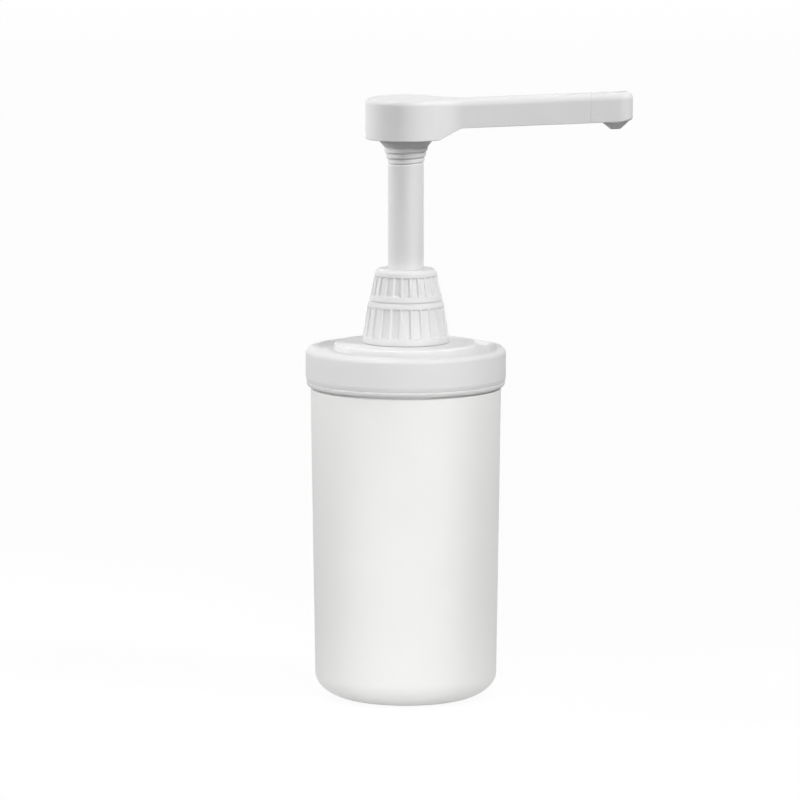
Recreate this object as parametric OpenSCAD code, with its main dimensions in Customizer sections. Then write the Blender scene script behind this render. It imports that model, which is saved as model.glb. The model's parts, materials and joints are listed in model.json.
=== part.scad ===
// Syrup pump dispenser: a screw-lidded jar with a hand pump and a side spout.
// Millimetres. The origin is on the jar's axis, on the plane that it stands on.
// +Z is up, and the spout points along +X.

/* [Jar] */
// Outer radius of the jar at its shoulder
jar_r_top = 54.3; // [52:0.1:60]
// How far the jar's wall draws in from its shoulder to the standing plane
jar_draft = 2.7; // [1:0.1:4]
// Height of the shoulder
jar_h = 178.8; // [160:0.2:220]
// Thickness of the jar wall
jar_wall = 2.2; // [1.6:0.1:3]
// Thickness of the jar floor
jar_floor = 2.6; // [2:0.1:4]
// How far the round corner between the wall and the base reaches in
base_round_r = 24; // [12:0.5:30]
// Height of that corner
base_round_h = 15; // [8:0.5:18]
// Depth of the shallow ring moulded into the base
base_groove = 0.8; // [0.4:0.1:1.2]
// Radius of the flat pad inside that ring
base_pad_r = 18; // [12:1:24]
// Height of the neck above the shoulder
neck_h = 18.4; // [18:0.2:26]
// Step in from the shoulder to the neck
neck_step = 1.7; // [1.2:0.1:3]
// Thickness of the neck wall
neck_wall = 2.4; // [1.8:0.1:3.2]

/* [Lid] */
// Pitch of the jar thread
jar_pitch = 5.08; // [4.6:0.02:6]
// Height of the jar thread
jar_thread_h = 1.6; // [1.2:0.1:2]
// Turns of the jar thread
jar_turns = 1.3; // [1:0.1:1.6]
// Thickness of the lid's skirt
lid_wall = 2.2; // [1.8:0.1:3]
// Thickness of the lid's top
lid_t = 2; // [1.6:0.1:3]
// Height of the rim above the lid's flat top
rim_rise = 1.4; // [0.8:0.1:2]
// Radius of the rim's round outer edge
rim_round = 3; // [1.5:0.1:3.2]
// Width of the rim's level top
rim_land = 1.4; // [0.8:0.1:3]
// Height of the lip under the skirt
lip_h = 2.4; // [2:0.1:4.4]
// How far the lip draws in towards its foot
lip_draw = 1.5; // [0.8:0.1:1.8]
// Height of the groove between the lip and the skirt
lip_groove = 0.7; // [0.5:0.1:1.2]
// Depth of that groove
lip_groove_d = 1; // [0.6:0.1:1.3]
// Gap between the lip and the jar's shoulder
lip_gap = 1.1; // [0.4:0.1:1.5]
// Radius of the boss in the middle of the lid
boss_r = 40.5; // [34:0.5:44]
// Height of the boss above the lid's flat top
boss_h = 4.2; // [3:0.1:8]
// Thickness of the boss
boss_t = 2.2; // [1.8:0.1:3]
// Radius of the boss's edge
boss_round = 1; // [0.5:0.1:1.5]
// Thickness of the sealing ring in the lid
liner_t = 1.2; // [0.8:0.1:2]
// Width of the sealing ring inside the neck
liner_overhang = 3; // [1:0.5:5]

/* [Pump barrel] */
// Radius of the pump's bore
bore_r = 13; // [12.4:0.1:16]
// Thickness of the barrel's wall
barrel_wall = 2; // [1.5:0.1:3]
// Height of the threaded neck on the lid's boss
upstand_h = 15.7; // [12:0.1:20]
// Thickness of that neck's wall
upstand_wall = 3.2; // [2.4:0.1:4.5]
// Thickness of the gasket under the barrel's flange
gasket_t = 1.5; // [1:0.1:2.5]
// Thickness of the barrel's flange
flange_t = 3; // [2:0.1:5]
// Pitch of the fine threads on the lid's neck and on the barrel
fine_pitch = 3; // [2.8:0.1:3.6]
// Height of the fine threads
fine_thread_h = 1; // [0.8:0.1:1.2]
// Turns of the fine threads
fine_turns = 2; // [1.5:0.25:2.5]
// Travel of the piston
stroke = 56; // [40:1:64]

/* [Closure nut] */
// Thickness of the nut's wall at its foot
nut_wall = 4.7; // [3.6:0.1:6]
// How far the nut draws in between its foot and its shoulder
nut_draw = 2.8; // [1:0.1:3]
// Thickness of the nut's roof
nut_roof = 5; // [3:0.1:7]
// Radius of the nut's round shoulder
nut_round = 4.2; // [2:0.1:4.4]
// Height of the smooth band at the nut's foot
nut_band = 3.4; // [2:0.1:5]
// Grooves around the nut and around the gland cap
flutes = 24; // [16:1:28]
// Depth of the grooves
flute_d = 0.9; // [0.5:0.05:1.1]
// Width of the ribs between the grooves
rib_w = 1.4; // [1:0.1:2]

/* [Gland cap] */
// Height of the barrel's threaded top inside the gland cap
barrel_rise = 9.7; // [8.5:0.1:14]
// Thickness of the gland cap's wall at its bead
gland_wall = 4.5; // [4:0.1:6]
// How far the gland cap draws in from its bead to its top
gland_draw = 2.4; // [1.5:0.1:2.8]
// Height of the bead at the gland cap's foot
gland_bead = 2.2; // [1.5:0.1:3]
// How far that bead stands out
gland_bead_d = 0.9; // [0.4:0.1:1.2]
// Thickness of the gland cap's roof
gland_roof = 3.6; // [3:0.1:6]
// Radius of the gland cap's round top edge
gland_round = 2.8; // [1:0.1:3.4]
// Length of the stem's bush
bush_l = 8; // [6:0.5:12]
// Thickness of the bush's flange
bush_flange = 1.5; // [1:0.1:2.5]
// Thickness of the wiper seal
wiper_t = 2; // [1.5:0.1:3]

/* [Stem] */
// Outer radius of the stem
stem_r = 10.15; // [9.4:0.05:10.4]
// Thickness of the stem's wall
stem_wall = 3.65; // [3.3:0.05:4]
// Height of the threaded flare under the head
flare_h = 8.5; // [7:0.1:12]
// How far the flare widens
flare_out = 2.45; // [1:0.05:3]
// Turns of the thread on the flare
flare_turns = 2.5; // [2:0.5:3.5]
// Height of the thread on the flare
flare_thread_h = 0.6; // [0.4:0.05:0.8]
// Room between the flare and the gland cap at the end of the stroke
head_clear = 4.9; // [3:0.1:10]
// Length of the stem's foot in the piston
foot_l = 8.8; // [8:0.1:12]
// Step in from the stem to its foot
foot_step = 1.55; // [1.2:0.05:1.7]
// Step in from the stem to the spigot in the head
spigot_step = 0.65; // [0.4:0.05:1]

/* [Piston and valves] */
// Length of the piston
piston_l = 22; // [21:0.5:30]
// Height of the piston's seal
piston_seal_h = 4; // [3:0.5:6]
// Depth of the seal's groove
piston_groove = 2.2; // [1.6:0.1:3]
// Length of the collar that centres the spring
collar_h = 3; // [2:0.5:5]
// Radius of the discharge ball
discharge_ball_r = 4; // [3.4:0.1:4.2]
// Radius of the inlet ball
inlet_ball_r = 4.5; // [4:0.1:5]
// Travel of both balls
ball_lift = 3; // [2:0.1:3.5]
// Thickness of the stop above the discharge ball
stop_t = 2.5; // [1.5:0.1:4]
// Thickness of the cage above the inlet ball
cage_t = 2.5; // [1.5:0.1:4]
// Height of the valve seat above the foot of the barrel
inlet_seat_h = 0.8; // [0.5:0.1:2]
// Thickness of the foot valve's flange
foot_flange = 3; // [2:0.1:5]
// Length of the socket for the dip tube
socket_l = 12; // [10:0.5:18]
// Outer radius of the dip tube
tube_r = 5; // [4.5:0.1:5.6]
// Thickness of the dip tube's wall
tube_wall = 1.2; // [0.9:0.1:1.4]
// Thickness of the socket's wall
socket_wall = 2.4; // [1.6:0.1:3]
// Gap between the dip tube and the jar's floor
tube_gap = 3; // [1:0.5:8]

/* [Return spring] */
// Diameter of the spring's wire
wire_d = 1.6; // [1.2:0.1:1.7]
// Turns of the spring
spring_turns = 10; // [7:1:11]
// Length of the spring at the end of the stroke
spring_short = 21; // [20:0.5:30]
// Gap between the spring and the bore
spring_gap = 0.7; // [0.5:0.1:1]

/* [Head] */
// Radius of the press head
head_r = 23; // [21:0.1:28]
// Height of the press head
head_h = 23.2; // [22:0.1:26]
// Radius of the head's top edge
head_round = 3; // [1.5:0.1:4]
// Radius of the head's lower edge
head_foot_round = 0.8; // [0.6:0.1:3]
// Height of the hub under the head
hub_h = 4.7; // [3.5:0.1:8]
// How far the hub widens
hub_out = 3.2; // [1:0.1:4]
// Width of the head's rim around its cap
cap_rim = 4.4; // [3.5:0.1:6]
// Thickness of the cap
cap_t = 2; // [1.5:0.1:2.4]
// Depth of the cap's dish
cap_dish = 0.8; // [0.3:0.1:1]
// Thickness of the seal on the stem's top
stem_seal_t = 1.2; // [0.8:0.1:2]

/* [Spout] */
// Width of the spout arm
arm_w = 16; // [14:0.1:20]
// Height of the spout arm
arm_h = 16.5; // [14:0.1:18]
// Height of the arm's axis above the head's foot, at the stem's axis
arm_up = 13.4; // [12:0.1:14.2]
// Rise of the arm in degrees
arm_rise = 2.3; // [0:0.1:5]
// Distance from the axis to where the head has narrowed to the arm
arm_root = 31; // [27:0.5:40]
// Distance to the seam of the end piece
seam_x = 104.5; // [90:0.1:125]
// Length of the end piece
end_l = 24.2; // [22:0.1:30]
// Radius of the arm's top edges
arm_round = 4; // [2:0.1:6]
// Radius of the arm's lower edges
arm_foot_round = 0.6; // [0.4:0.1:2]
// Radius of the end piece's lower edge, round its tip
tip_foot_round = 1.4; // [1:0.1:3.5]
// Distance from the seam to the nozzle's axis
nozzle_in = 14; // [12.5:0.1:15]
// Radius of the nozzle at the arm
nozzle_r = 7.5; // [6.5:0.1:7.8]
// Radius of the nozzle's tip
nozzle_tip_r = 3; // [2.6:0.1:4]
// Length of the nozzle
nozzle_l = 4.4; // [4:0.1:10]
// Radius of the nozzle's hole
nozzle_hole_r = 2; // [1.5:0.1:2.2]
// Radius of the channel in the arm
channel_r = 4; // [3.2:0.1:4.2]
// Radius of the end piece's plug
plug_r = 6; // [5.6:0.1:6.4]
// Length of that plug
plug_l = 9; // [7:0.5:12]

/* [Clearances] */
// Gap between turning or sliding pieces and their guides
run_gap = 0.05; // [0.03:0.01:0.1]
// Gap between pieces that are pushed or screwed together
fit_gap = 0.02; // [0.01:0.01:0.05]
// Gap where a piece passes another without touching it
pass_gap = 0.4; // [0.3:0.05:0.6]
// Radial gap at the crest of the jar thread
jar_thread_gap = 0.6; // [0.4:0.05:0.8]
// Axial gap between the flanks of the jar thread
jar_thread_play = 0.4; // [0.3:0.05:0.5]
// Gap between a piece that stops or turns on another and its stop
stop_gap = 0.3; // [0.1:0.05:0.4]

/* [Hidden] */
$fn = 96;
hull_fn = 32;

// Width and depth of the ring on the end piece's plug
end_seal_w = 2.4;
end_seal_d = 1.2;
// Height of the nozzle's spigot, and the ledge around it
nozzle_spigot_h = 4;
nozzle_ledge = 2.5;
// Slant of the dip tube's cut foot
tube_slant = 35;
// Foot and crest widths of the jar thread and of the fine threads
jar_thread_foot = 2.4;
jar_thread_crest = 1;
fine_foot = 1.6;
fine_crest = 0.6;
// Small edges that are shared by many pieces
edge = 0.5;
// How far the head's blend into the arm lies under their faces
blend_inset = 0.12;
// How far a cut runs past the face that it starts from
over = 1;
// How far a thread's ridge is rooted in its wall
thread_root = 0.5;
// Angle over which a thread fades out at each end
thread_fade = 40;
// Rings on one turn of a thread and of the spring
thread_steps = 48;
spring_steps = 16;
spring_sides = 6;
// Height and half width of the snap bead on the stem's foot
bead_h = 0.4;
bead_half = 0.9;
// Angle at which the round bead of the gland cap meets its wall
bead_arc = 70;
// Spare gap between the closed end turns of the spring
coil_gap = 0.6;
// The valve seats are 45 degree cones
seat_angle = 45;
// Width of a seat below the circle on which its ball rests
seat_land = 0.25;
// Gap between a resting ball and its seat
seat_gap = 0.1;
// Room around a ball in its chamber
ball_room = 2;
// Holes for the syrup in the inlet ball's cage and in the discharge ball's stop
cage_holes = 6;
cage_hole_r = 1.6;
stop_holes = 5;
stop_hole_r = 1.3;

// Heights from the jar up to the gland cap
neck_r = jar_r_top - neck_step;
neck_in_r = neck_r - neck_wall;
jar_rim = jar_h + neck_h;
lid_in_r = neck_r + jar_thread_h + jar_thread_gap;
lid_r = lid_in_r + lid_wall;
lid_under = jar_rim + liner_t;
lid_flat = lid_under + lid_t;
lid_top = lid_flat + rim_rise;
lid_foot = jar_h + lip_gap;
boss_top = lid_flat + boss_h;
upstand_top = boss_top + upstand_h;
flange_foot = upstand_top + gasket_t;
flange_top = flange_foot + flange_t;
nut_foot = boss_top + stop_gap;
nut_top = flange_top + nut_roof;
gland_foot = nut_top + stop_gap;
barrel_top = gland_foot + barrel_rise;
wiper_foot = barrel_top + bush_flange;
gland_ceiling = wiper_foot + wiper_t;
gland_top = gland_ceiling + gland_roof;

// Radii from the bore out to the closure nut
barrel_r = bore_r + barrel_wall;
upstand_in_r = barrel_r + pass_gap;
upstand_r = upstand_in_r + upstand_wall;
nut_bore = upstand_r + fine_thread_h + pass_gap;
nut_r = nut_bore + nut_wall;
nut_hole = barrel_r + fine_thread_h + pass_gap;
flange_r = nut_bore - pass_gap;
gland_bore = barrel_r + fine_thread_h + pass_gap;
gland_r = gland_bore + gland_wall;
wiper_r = barrel_r + pass_gap;

// Heights of the piston, the spring and the valves, with the piston at the top of its travel
piston_top = barrel_top - bush_l - stop_gap;
piston_foot = piston_top - piston_l;
spring_l = spring_short + stroke;
cage_top = piston_foot - spring_l;
cage_foot = cage_top - cage_t;
inlet_top = cage_foot - stop_gap - ball_lift;
inlet_z = inlet_top - inlet_ball_r;
inlet_hole_r = inlet_ball_r * cos(seat_angle) - seat_land;
inlet_seat = inlet_z - seat_gap - inlet_ball_r / sin(seat_angle) + inlet_hole_r;
inlet_room_r = inlet_ball_r + ball_room;
barrel_foot = inlet_seat - inlet_seat_h;
valve_foot = barrel_foot - foot_flange;
socket_foot = valve_foot - socket_l;
socket_r = tube_r + socket_wall;
tube_top = valve_foot - edge;
tube_foot = jar_floor + tube_gap;

// Heights and radii of the stem and of the discharge valve
stem_shoulder = piston_top + stop_gap / 2;
foot_r = stem_r - foot_step;
foot_end = stem_shoulder - foot_l;
bead_z = stem_shoulder - foot_l / 2;
stem_bore_r = stem_r - stem_wall;
piston_socket = foot_end - stop_gap;
discharge_top = foot_end - stop_gap - ball_lift;
discharge_z = discharge_top - discharge_ball_r;
discharge_hole_r = discharge_ball_r * cos(seat_angle) - seat_land;
discharge_seat = discharge_z - seat_gap - discharge_ball_r / sin(seat_angle) + discharge_hole_r;
discharge_room_r = discharge_ball_r + ball_room;
piston_r = bore_r - pass_gap;
piston_groove_r = piston_r - piston_groove;
piston_groove_z = piston_foot + (piston_l - piston_seal_h) / 2;
spring_r = bore_r - spring_gap - wire_d / 2;
collar_r = spring_r - wire_d / 2 - pass_gap;
flare_foot = gland_top + head_clear + stroke;
flare_top = flare_foot + flare_h;
flare_r = stem_r + flare_out;
spigot_r = stem_r - spigot_step;

// The head and the spout, whose arm lies along an axis that rises from the stem's axis
head_foot = flare_top + hub_h;
head_top = head_foot + head_h;
hub_r = flare_r + hub_out;
cap_r = head_r - cap_rim;
arm_z = head_foot + arm_up;
stem_seal_top = arm_z - channel_r - edge;
stem_top = stem_seal_top - stem_seal_t;
cap_foot = head_top - cap_t;
chamber_r = stem_bore_r - edge;
plug_foot = seam_x - plug_l;
end_seal_x = seam_x - plug_l / 2;
nozzle_x = seam_x + nozzle_in;
nozzle_spigot_r = nozzle_r - nozzle_ledge;
tip_x = seam_x + end_l - arm_w / 2;

// Points of an arc about [x, y]
function arc(x, y, r, from, to, steps = 8) =
  [for (i = [0:steps]) let (a = from + (to - from) * i / steps) [x + r * cos(a), y + r * sin(a)]];

// Points of a quarter oval about [x, y], from or to its foot
function oval(x, y, rx, ry, from, to, steps = 12) =
  [for (i = [0:steps]) let (a = from + (to - from) * i / steps) [x + rx * cos(a), y + ry * sin(a)]];

// Outer radius of the jar's wall at a height
function jar_r(z) = jar_r_top - jar_draft * (1 - z / jar_h);

// A closed tube through a list of sections with equally many points each
module swept(sections) {
  sides = len(sections[0]);
  last = (len(sections) - 1) * sides;
  walls = [
    for (i = [0:len(sections) - 2], j = [0:sides - 1])
      let (a = i * sides + j, b = i * sides + (j + 1) % sides)
        each [[a, b, a + sides], [b, b + sides, a + sides]]
  ];
  caps = [for (j = [1:sides - 2]) each [[0, j + 1, j], [last, last + j, last + j + 1]]];
  polyhedron(points = [for (s = sections) each s], faces = concat(walls, caps));
}

// A helical ridge that climbs a wall from radius r0 to r1. A negative depth points inwards.
module ridge(r0, r1, pitch, turns, depth, foot, crest) {
  side = sign(depth);
  count = round(turns * thread_steps);
  swept([
    for (i = [0:count])
      let (
        t = i / count,
        turn = 360 * turns * t,
        z = pitch * turns * t,
        r = r0 + (r1 - r0) * t,
        fade = min(1, turn / thread_fade, (360 * turns - turn) / thread_fade),
        top = r + fade * depth - (1 - fade) * side * thread_root / 2,
        root = r - side * thread_root
      )
        [for (p = [[root, -foot], [top, -crest], [top, crest], [root, foot]])
          [p[0] * cos(turn), p[0] * sin(turn), z + side * p[1] / 2]]
  ]);
}

// A round-ended groove, cut along a line on a tapering wall
module flute(r0, z0, r1, z1) {
  width = 2 * PI * (r0 + r1) / 2 / flutes - rib_w;
  r = (width * width / 4 + flute_d * flute_d) / (2 * flute_d);
  lean = atan2(r1 - r0, z1 - z0);
  run = norm([r1 - r0, z1 - z0]);
  translate([r0 + r - flute_d, 0, z0]) rotate([0, lean, 0])
    rotate_extrude() intersection() {
      union() {
        circle(r = r);
        translate([0, run]) circle(r = r);
        translate([-r, 0]) square([2 * r, run]);
      }
      translate([0, -r]) square([r, run + 2 * r]);
    }
}

// Half the length that a groove's round end adds
function flute_end(r0, r1) = PI * (r0 + r1) / 2 / flutes - rib_w / 2;

// The frame of the arm: X along its axis, Z up
module along_arm() {
  translate([0, 0, arm_z]) rotate([0, -arm_rise, 0]) children();
}

// A length of the arm's outline, from one distance to another, drawn in by an inset
module arm_bar(from, to, inset = 0) {
  side = arm_w / 2;
  up = arm_h / 2;
  outline = concat(
    arc(side - arm_round, up - arm_round, arm_round - inset, 0, 90),
    arc(arm_round - side, up - arm_round, arm_round - inset, 90, 180),
    arc(arm_foot_round - side, arm_foot_round - up, arm_foot_round - inset, 180, 270),
    arc(side - arm_foot_round, arm_foot_round - up, arm_foot_round - inset, 270, 360)
  );
  translate([from, 0, 0]) rotate([90, 0, 90]) linear_extrude(to - from) polygon(outline);
}

// A bore along the arm
module arm_bore(r, from, to) {
  translate([from, 0, 0]) rotate([0, 90, 0]) cylinder(r = r, h = to - from);
}

// A flat disc
module disc(r, foot, top) {
  translate([0, 0, foot]) cylinder(r = r, h = top - foot);
}

// A flat ring
module ring(r_in, r_out, foot, top) {
  translate([0, 0, foot]) difference() {
    cylinder(r = r_out, h = top - foot);
    translate([0, 0, -over]) cylinder(r = r_in, h = top - foot + 2 * over);
  }
}

// A round of small holes through a disc
module hole_ring(count, at, r, foot, top) {
  for (i = [0:count - 1])
    rotate([0, 0, 360 * i / count])
      translate([at, 0, 0]) disc(r, foot - over, top + over);
}

// The jar, with its thread
jar_thread_z = jar_h + (neck_h - jar_pitch * jar_turns) / 2;

module jar() {
  base_r = jar_r(base_round_h) - base_round_r;
  ring_r = base_r - 4 * edge;
  wall_top = jar_h - 2 * neck_wall;
  outline = concat(
    [[0, 0], [base_pad_r, 0], [base_pad_r + base_groove, base_groove]],
    [[ring_r - base_groove, base_groove], [ring_r, 0]],
    oval(base_r, base_round_h, base_round_r, base_round_h, -90, 0),
    arc(jar_r_top - edge, jar_h - edge, edge, 0, 90),
    [[neck_r, jar_h]],
    arc(neck_r - edge, jar_rim - edge, edge, 0, 90),
    arc(neck_in_r + edge, jar_rim - edge, edge, 90, 180),
    [[neck_in_r, jar_h - edge], [jar_r(wall_top) - jar_wall, wall_top]],
    oval(base_r, base_round_h, base_round_r - jar_wall, base_round_h - jar_floor, 0, -90),
    [[0, jar_floor]]
  );
  color("white") union() {
    rotate_extrude() polygon(outline);
    translate([0, 0, jar_thread_z])
      ridge(neck_r, neck_r, jar_pitch, jar_turns, jar_thread_h, jar_thread_foot, jar_thread_crest);
  }
}

// The lid, whose thread lies under the jar's thread, and its threaded neck for the pump
upstand_thread_z = boss_top + (upstand_h - fine_pitch * fine_turns) / 2;

module lid() {
  lip_top = lid_foot + lip_h;
  skirt_foot = lip_top + lip_groove;
  rim_in = lid_r - rim_round - rim_land;
  boss_in = boss_r - boss_t;
  outline = concat(
    [[lid_in_r, lid_foot]],
    arc(lid_r - lip_draw - edge, lid_foot + edge, edge, -90, 0),
    [[lid_r - edge, lip_top], [lid_r - lip_groove_d, lip_top], [lid_r - lip_groove_d, skirt_foot]],
    [[lid_r, skirt_foot]],
    arc(lid_r - rim_round, lid_top - rim_round, rim_round, 0, 90),
    [[rim_in, lid_top], [rim_in - rim_rise, lid_flat], [boss_r, lid_flat]],
    arc(boss_r - boss_round, boss_top - boss_round, boss_round, 0, 90),
    [[upstand_r, boss_top], [upstand_r, upstand_top - edge], [upstand_r - edge, upstand_top]],
    [[upstand_in_r, upstand_top], [upstand_in_r, boss_top - boss_t]],
    [[boss_in, boss_top - boss_t], [boss_in, lid_under], [lid_in_r, lid_under]]
  );
  thread_depth = jar_thread_h + jar_thread_gap - pass_gap;
  drop = (jar_thread_foot + jar_thread_crest) / 2 + jar_thread_play;
  color("white") union() {
    rotate_extrude() polygon(outline);
    translate([0, 0, jar_thread_z - drop])
      ridge(lid_in_r, lid_in_r, jar_pitch, jar_turns, -thread_depth, jar_thread_foot, jar_thread_crest);
    translate([0, 0, upstand_thread_z])
      ridge(upstand_r, upstand_r, fine_pitch, fine_turns, fine_thread_h, fine_foot, fine_crest);
  }
}

// The sealing ring between the lid and the jar's rim
module lid_liner() {
  color("gainsboro") ring(neck_in_r - liner_overhang, lid_in_r - pass_gap, jar_rim, lid_under);
}

// The pump's barrel, with its flange and the thread for the gland cap
barrel_thread_z = gland_foot + (barrel_rise - fine_pitch * fine_turns) / 2;

module pump_cylinder() {
  outline = [
    [bore_r, barrel_foot], [barrel_r, barrel_foot], [barrel_r, flange_foot], [flange_r, flange_foot],
    [flange_r, flange_top], [barrel_r, flange_top], [barrel_r, barrel_top - edge],
    [barrel_r - edge, barrel_top], [bore_r, barrel_top]
  ];
  color("whitesmoke") union() {
    rotate_extrude() polygon(outline);
    translate([0, 0, barrel_thread_z])
      ridge(barrel_r, barrel_r, fine_pitch, fine_turns, fine_thread_h, fine_foot, fine_crest);
  }
}

// The gasket under the barrel's flange
module flange_gasket() {
  color("dimgray") ring(barrel_r + pass_gap, flange_r, upstand_top, flange_foot);
}

// The fluted nut that clamps the barrel on the lid
module closure_nut() {
  shoulder_r = nut_r - nut_draw;
  shoulder_z = nut_top - nut_round;
  outline = concat(
    [[nut_bore, nut_foot]],
    arc(nut_r - edge, nut_foot + edge, edge, -90, 0),
    [[nut_r, nut_foot + nut_band]],
    arc(shoulder_r - nut_round, shoulder_z, nut_round, 0, 90),
    [[nut_hole, nut_top], [nut_hole, flange_top], [nut_bore, flange_top]]
  );
  end = flute_end(nut_r, shoulder_r);
  color("white") union() {
    difference() {
      rotate_extrude() polygon(outline);
      for (i = [0:flutes - 1])
        rotate([0, 0, 360 * i / flutes])
          flute(nut_r, nut_foot + nut_band + end, shoulder_r, shoulder_z - end + edge);
    }
    translate([0, 0, upstand_thread_z - fine_pitch / 2])
      ridge(nut_bore, nut_bore, fine_pitch, fine_turns, -fine_thread_h, fine_foot, fine_crest);
  }
}

// The fluted cap that holds the stem's bush and wiper on the barrel
module gland_cap() {
  wall_r = gland_r - gland_bead_d;
  top_r = wall_r - gland_draw;
  bead_top = gland_foot + gland_bead;
  outline = concat(
    [[gland_bore, gland_foot]],
    arc(gland_r - gland_bead / 2, gland_foot + gland_bead / 2, gland_bead / 2, -90, bead_arc),
    [[wall_r, bead_top]],
    arc(top_r - gland_round, gland_top - gland_round, gland_round, 0, 90),
    [[stem_r + pass_gap, gland_top], [stem_r + pass_gap, gland_ceiling]],
    [[wiper_r + fit_gap, gland_ceiling], [wiper_r + fit_gap, barrel_top], [gland_bore, barrel_top]]
  );
  end = flute_end(wall_r, top_r);
  color("white") union() {
    difference() {
      rotate_extrude() polygon(outline);
      for (i = [0:flutes - 1])
        rotate([0, 0, 360 * i / flutes])
          flute(wall_r, bead_top + end / 2, top_r, gland_top - gland_round - end);
    }
    translate([0, 0, barrel_thread_z + fine_pitch / 2])
      ridge(gland_bore, gland_bore, fine_pitch, fine_turns, -fine_thread_h, fine_foot, fine_crest);
  }
}

// The stem's bush, in the top of the barrel
module guide_bush() {
  r_in = stem_r + run_gap;
  color("ivory") {
    rotate_extrude() polygon([
      [r_in, barrel_top - bush_l], [bore_r - fit_gap, barrel_top - bush_l],
      [bore_r - fit_gap, barrel_top], [barrel_r, barrel_top], [barrel_r, wiper_foot], [r_in, wiper_foot]
    ]);
  }
}

// The ring that wipes the stem, with its lip turned down and in
module wiper_seal() {
  lip = wiper_t / 2;
  body_in = stem_r + pass_gap;
  color("dimgray") rotate_extrude() polygon([
    [stem_r + run_gap, wiper_foot], [wiper_r, wiper_foot], [wiper_r, gland_ceiling],
    [body_in, gland_ceiling], [body_in, wiper_foot + lip], [stem_r + run_gap, wiper_foot + lip / 2]
  ]);
}

// The inlet valve's body in the foot of the barrel, with the dip tube's socket below it
module foot_valve() {
  plug_r = bore_r - fit_gap;
  color("whitesmoke") rotate_extrude() polygon([
    [tube_r + fit_gap, socket_foot], [socket_r, socket_foot], [socket_r, valve_foot],
    [barrel_r, valve_foot], [barrel_r, barrel_foot], [plug_r, barrel_foot], [plug_r, cage_foot],
    [inlet_room_r, cage_foot],
    [inlet_room_r, inlet_seat + inlet_room_r - inlet_hole_r], [inlet_hole_r, inlet_seat],
    [inlet_hole_r, tube_top], [tube_r + fit_gap, tube_top]
  ]);
}

// The inlet ball, resting on its seat
module inlet_ball() {
  color("silver") translate([0, 0, inlet_z]) sphere(r = inlet_ball_r);
}

// The cage that keeps the inlet ball in, with the collar that centres the spring
module ball_cage() {
  color("whitesmoke") difference() {
    union() {
      disc(bore_r - fit_gap, cage_foot, cage_top);
      ring(inlet_room_r, collar_r, cage_foot, cage_top + collar_h);
    }
    hole_ring(cage_holes, inlet_room_r - cage_hole_r - edge, cage_hole_r, cage_foot, cage_top);
  }
}

// The dip tube, cut on the slant at its foot
module dip_tube() {
  color("gainsboro") difference() {
    ring(tube_r - tube_wall, tube_r, tube_foot, tube_top - fit_gap);
    translate([0, 0, tube_foot]) rotate([0, tube_slant, 0])
      translate([-4 * tube_r, -2 * tube_r, -8 * tube_r]) cube([4 * tube_r, 4 * tube_r, 8 * tube_r]);
  }
}

// The return spring: closed end turns, open turns between them
end_pitch = wire_d + coil_gap;
open_pitch = (spring_l - 2 * stop_gap - wire_d - 2 * end_pitch) / (spring_turns - 2);

function spring_z(u) =
  cage_top + stop_gap + wire_d / 2 + min(u, 1) * end_pitch
  + max(0, min(u, spring_turns - 1) - 1) * open_pitch
  + max(0, u - spring_turns + 1) * end_pitch;

function spring_point(u) = [spring_r * cos(360 * u), spring_r * sin(360 * u), spring_z(u)];

spring_path = [for (i = [0:spring_turns * spring_steps]) spring_point(i / spring_steps)];
spring_gaps = [
  for (i = [0:len(spring_path) - 1], j = [i + spring_steps / 2:len(spring_path) - 1])
    norm(spring_path[j] - spring_path[i]) - wire_d
];
echo(return_spring_least_gap = min(spring_gaps));

module return_spring() {
  color("silver") swept([
    for (i = [0:len(spring_path) - 1])
      let (
        a = 360 * i / spring_steps,
        out = [cos(a), sin(a), 0],
        ahead = spring_path[min(i + 1, len(spring_path) - 1)] - spring_path[max(i - 1, 0)],
        up = cross(out, ahead) / norm(cross(out, ahead))
      )
        [for (k = [0:spring_sides - 1])
          let (b = 360 * k / spring_sides)
            spring_path[i] + wire_d / 2 * (cos(b) * out + sin(b) * up)]
  ]);
}

// The piston, snapped on the stem's foot, with the discharge valve's seat
module piston() {
  socket = foot_r + run_gap;
  color("whitesmoke") rotate_extrude() polygon([
    [discharge_hole_r, piston_foot - collar_h], [collar_r, piston_foot - collar_h],
    [collar_r, piston_foot], [piston_r, piston_foot],
    [piston_r, piston_groove_z], [piston_groove_r, piston_groove_z],
    [piston_groove_r, piston_groove_z + piston_seal_h], [piston_r, piston_groove_z + piston_seal_h],
    [piston_r, piston_top], [socket, piston_top], [socket, bead_z + bead_half],
    [socket + bead_h, bead_z], [socket, bead_z - bead_half], [socket, piston_socket],
    [discharge_room_r, piston_socket],
    [discharge_room_r, discharge_seat + discharge_room_r - discharge_hole_r],
    [discharge_hole_r, discharge_seat]
  ]);
}

// The piston's seal, hollowed on its face to the bore
module piston_seal() {
  foot = piston_groove_z + fit_gap;
  top = piston_groove_z + piston_seal_h - fit_gap;
  r_out = bore_r - run_gap;
  color("dimgray") rotate_extrude() polygon([
    [piston_groove_r + fit_gap, foot], [r_out, foot], [r_out, foot + edge],
    [r_out - edge, (foot + top) / 2], [r_out, top - edge], [r_out, top], [piston_groove_r + fit_gap, top]
  ]);
}

// The discharge ball, resting on its seat
module discharge_ball() {
  color("silver") translate([0, 0, discharge_z]) sphere(r = discharge_ball_r);
}

// The pierced stop in the stem's foot, above the discharge ball
module valve_stop() {
  r_out = stem_bore_r - fit_gap;
  color("whitesmoke") difference() {
    disc(r_out, foot_end, foot_end + stop_t);
    hole_ring(stop_holes, r_out - stop_hole_r - edge, stop_hole_r, foot_end, foot_end + stop_t);
  }
}

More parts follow.
